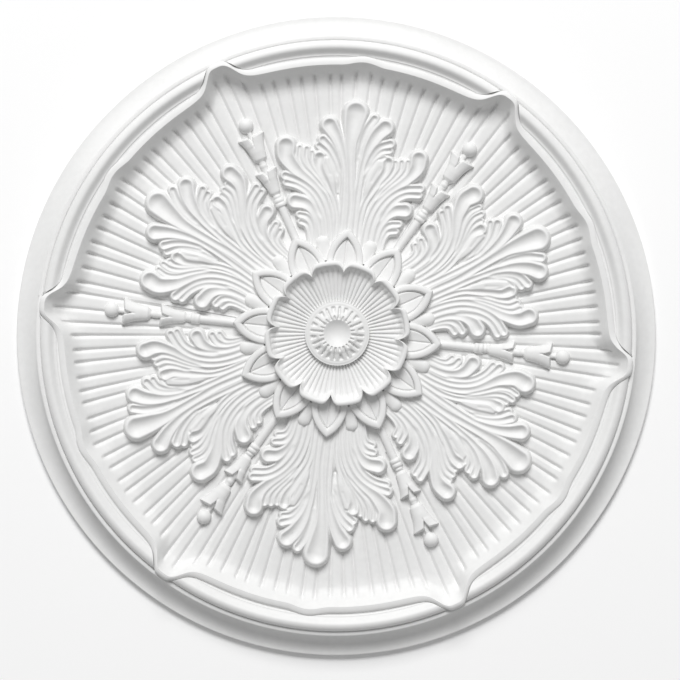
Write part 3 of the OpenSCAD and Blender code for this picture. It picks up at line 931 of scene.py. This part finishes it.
def blank_material(name):
    """A node material with only its Principled shader: (material, shader, a socket to build on)."""
    material = bpy.data.materials.new(name)
    material.use_nodes = True
    tree = material.node_tree
    shader = next(n for n in tree.nodes if n.type == "BSDF_PRINCIPLED")
    place = tree.nodes.new("ShaderNodeTexCoord")
    return material, shader, Socket(tree, place.outputs["Object"])


def primer_material(finish):
    """White primer sprayed on a dense casting: faint mottling and fine orange peel."""
    material, shader, place = blank_material(PRIMER)
    tree = material.node_tree
    shader.inputs["IOR"].default_value = 1.46
    shader.inputs["Specular IOR Level"].default_value = 0.35
    cloud = place.noise(9.0, 4.0, 0.6)
    fine = place.noise(160.0, 2.0, 0.5)
    peel = place.noise(900.0, 2.0, 0.55)
    mottle = (cloud * 0.65 + fine * 0.35).clamp(0.35, 0.65)
    tree.links.new(mottle.mix(finish.shade, finish.paint).socket, shader.inputs["Base Color"])
    rough = finish.roughness + (fine - 0.5) * 0.12
    tree.links.new(rough.socket, shader.inputs["Roughness"])
    bump = place.node(
        "ShaderNodeBump", {"Strength": 0.12, "Distance": 0.0004, "Height": peel * 0.6 + fine * 0.4}
    )
    tree.links.new(bump.socket, shader.inputs["Normal"])
    return material


def floor_material(finish):
    """A pale matt floor."""
    material, shader, place = blank_material("pale_floor")
    tree = material.node_tree
    shader.inputs["Specular IOR Level"].default_value = 0.1
    cloud = place.noise(1.5, 2.0, 0.5)
    low = tuple(c * 0.985 for c in finish.floor)
    tree.links.new(cloud.mix(low, finish.floor).socket, shader.inputs["Base Color"])
    shader.inputs["Roughness"].default_value = 0.85
    return material


# ---------------------------------------------------------------- operators

# How many degrees each leaf and each string of husks is turned away from an even spacing.
LEAF_STRAYS = (0.5, 0.3, -0.8, 0.4, -0.3, 0.1)
STRING_STRAYS = (0, 0.25, -0.25, 0, 0, 0.45)


class ROSE_OT_ground(bpy.types.Operator):
    """Builds the disc with its mouldings, wavy lip and flutes"""

    bl_idname = "rose.ground"
    bl_label = "Rim, lip and flutes"

    def execute(self, context):
        scene = context.scene
        rim, flutes = millimetres(scene.rose_rim), millimetres(scene.rose_flutes)
        obj = ground_object(rim, flutes, 360 / scene.rose_leaves.count)
        finish_piece(obj, angle=38)
        return {"FINISHED"}


class ROSE_OT_leaves(bpy.types.Operator):
    """Builds the acanthus leaves"""

    bl_idname = "rose.leaves"
    bl_label = "Acanthus leaves"

    def execute(self, context):
        scene = context.scene
        rim, leaf = millimetres(scene.rose_rim), millimetres(scene.rose_leaves)
        first = leaf_object(rim, leaf)
        off = scene.rose_flower.set_off
        for piece in turned_copies(first, leaf.count, 180 / leaf.count - 90, LEAF_STRAYS):
            finish_piece(moved(piece, off), angle=60)
        return {"FINISHED"}


class ROSE_OT_husks(bpy.types.Operator):
    """Builds the strings of husks between the leaves"""

    bl_idname = "rose.husks"
    bl_label = "Strings of husks"

    def execute(self, context):
        scene = context.scene
        rim, husks = millimetres(scene.rose_rim), millimetres(scene.rose_husks)
        first = moved(string_object(rim, husks), (STRING_SHIFT, 0))
        off = scene.rose_flower.set_off
        for piece in turned_copies(first, scene.rose_leaves.count, 0, STRING_STRAYS):
            finish_piece(moved(piece, off), angle=50)
        return {"FINISHED"}


class ROSE_OT_sepals(bpy.types.Operator):
    """Builds the ring of sepals and the buds between them"""

    bl_idname = "rose.sepals"
    bl_label = "Sepals and buds"

    def execute(self, context):
        scene = context.scene
        rim, flower = millimetres(scene.rose_rim), millimetres(scene.rose_flower)
        sepals = turned_copies(sepal_object(rim, flower), flower.petals, 0)
        off = scene.rose_flower.set_off
        finish_piece(moved(joined(sepals, "sepals"), off), angle=50)
        buds = turned_copies(bud_object(rim, flower), flower.petals, 180 / flower.petals)
        finish_piece(moved(joined(buds, "buds"), off), angle=50)
        return {"FINISHED"}


class ROSE_OT_petals(bpy.types.Operator):
    """Builds the bowl of ribbed petals and the boss in it"""

    bl_idname = "rose.petals"
    bl_label = "Petals and boss"

    def execute(self, context):
        scene = context.scene
        rim, flower = millimetres(scene.rose_rim), millimetres(scene.rose_flower)
        off = scene.rose_flower.set_off
        finish_piece(moved(petals_object(rim, flower), off), angle=45)
        finish_piece(moved(boss_object(flower), off), angle=45)
        return {"FINISHED"}


class ROSE_OT_materials(bpy.types.Operator):
    """Makes the primer of the casting"""

    bl_idname = "rose.materials"
    bl_label = "Primer"

    def execute(self, context):
        primer_material(context.scene.rose_finish)
        return {"FINISHED"}


# Direction in the rose's plane that is up in the picture, in degrees, and the window's turn from it.
PICTURE_UP = 96
WINDOW_LEAN = 4
# The window's distance to the side of the rose and its height, and the strength of the light all round.
WINDOW_AWAY = 6.3
WINDOW_HEIGHT = 6.6
SKY = 0.335
# In metres: the camera's height, the width that it sees at a level inside the casting, its middle's place.
CAMERA_HEIGHT = 2.6
VIEW_WIDTH = 0.7446
VIEW_LEVEL = 0.008
VIEW_RIGHT = 0.0042
VIEW_DOWN = 0.0046


def area_light(name, place, size, power):
    """A square soft light at place that faces the middle of the rose."""
    bpy.ops.object.light_add(type="AREA", location=place)
    lamp = bpy.context.object
    lamp.name = name
    lamp.rotation_euler = (-Vector(place)).to_track_quat("-Z", "Y").to_euler()
    lamp.data.shape = "SQUARE"
    lamp.data.size = size
    lamp.data.energy = power
    return lamp


class ROSE_OT_stage(bpy.types.Operator):
    """Sets up the floor, the soft light and the camera"""

    bl_idname = "rose.stage"
    bl_label = "Floor, light and camera"

    def execute(self, context):
        scene = context.scene
        bpy.ops.object.select_all(action="DESELECT")
        bpy.ops.mesh.primitive_plane_add(size=8, location=(0, 0, 0))
        floor = context.object
        floor.name = "floor"
        floor.data.materials.append(floor_material(scene.rose_finish))

        up = math.radians(PICTURE_UP)
        window = up + math.radians(WINDOW_LEAN)
        towards_top = Vector((math.cos(up), math.sin(up), 0))
        towards_window = Vector((math.cos(window), math.sin(window), 0))
        above = Vector((0, 0, WINDOW_HEIGHT))
        area_light("window", towards_window * WINDOW_AWAY + above, size=4.0, power=780)

        world = scene.world or bpy.data.worlds.new("studio")
        scene.world = world
        world.use_nodes = True
        back = world.node_tree.nodes["Background"]
        back.inputs["Color"].default_value = (1, 1, 1, 1)
        back.inputs["Strength"].default_value = SKY
        scene.view_settings.view_transform = "Standard"

        right = Vector((math.sin(up), -math.cos(up), 0))
        aim = right * VIEW_RIGHT - towards_top * VIEW_DOWN
        bpy.ops.object.camera_add(location=(aim.x, aim.y, CAMERA_HEIGHT))
        camera = context.object
        camera.rotation_euler = (0, 0, up - math.pi / 2)
        camera.data.lens = 85.0
        camera.data.sensor_width = camera.data.lens * VIEW_WIDTH / (CAMERA_HEIGHT - VIEW_LEVEL)
        camera.data.clip_end = 20
        scene.camera = camera
        return {"FINISHED"}


class ROSE_PT_panel(bpy.types.Panel):
    """Lists the sizes and the steps"""

    bl_idname = "ROSE_PT_panel"
    bl_label = "Ceiling Rose"
    bl_space_type = "VIEW_3D"
    bl_region_type = "UI"
    bl_category = "Rose"

    def draw(self, context):
        for group in GROUPS:
            box = self.layout.box()
            values = getattr(context.scene, group)
            for name in values.__annotations__:
                box.prop(values, name)
        for step in STEPS:
            self.layout.operator(step.bl_idname)


GROUPS = {
    "rose_rim": RimSizes,
    "rose_flutes": FluteSizes,
    "rose_leaves": LeafSizes,
    "rose_husks": HuskSizes,
    "rose_flower": FlowerSizes,
    "rose_finish": FinishValues,
}
STEPS = (
    ROSE_OT_materials,
    ROSE_OT_ground,
    ROSE_OT_leaves,
    ROSE_OT_husks,
    ROSE_OT_sepals,
    ROSE_OT_petals,
    ROSE_OT_stage,
)


def register():
    for cls in (*GROUPS.values(), *STEPS, ROSE_PT_panel):
        bpy.utils.register_class(cls)
    for name, group in GROUPS.items():
        setattr(bpy.types.Scene, name, PointerProperty(type=group))


def unregister():
    for name in GROUPS:
        delattr(bpy.types.Scene, name)
    for cls in reversed((*GROUPS.values(), *STEPS, ROSE_PT_panel)):
        bpy.utils.unregister_class(cls)


def main():
    register()
    bpy.ops.rose.materials()
    bpy.ops.rose.ground()
    bpy.ops.rose.leaves()
    bpy.ops.rose.husks()
    bpy.ops.rose.sepals()
    bpy.ops.rose.petals()
    bpy.ops.rose.stage()


if __name__ == "__main__":
    main()
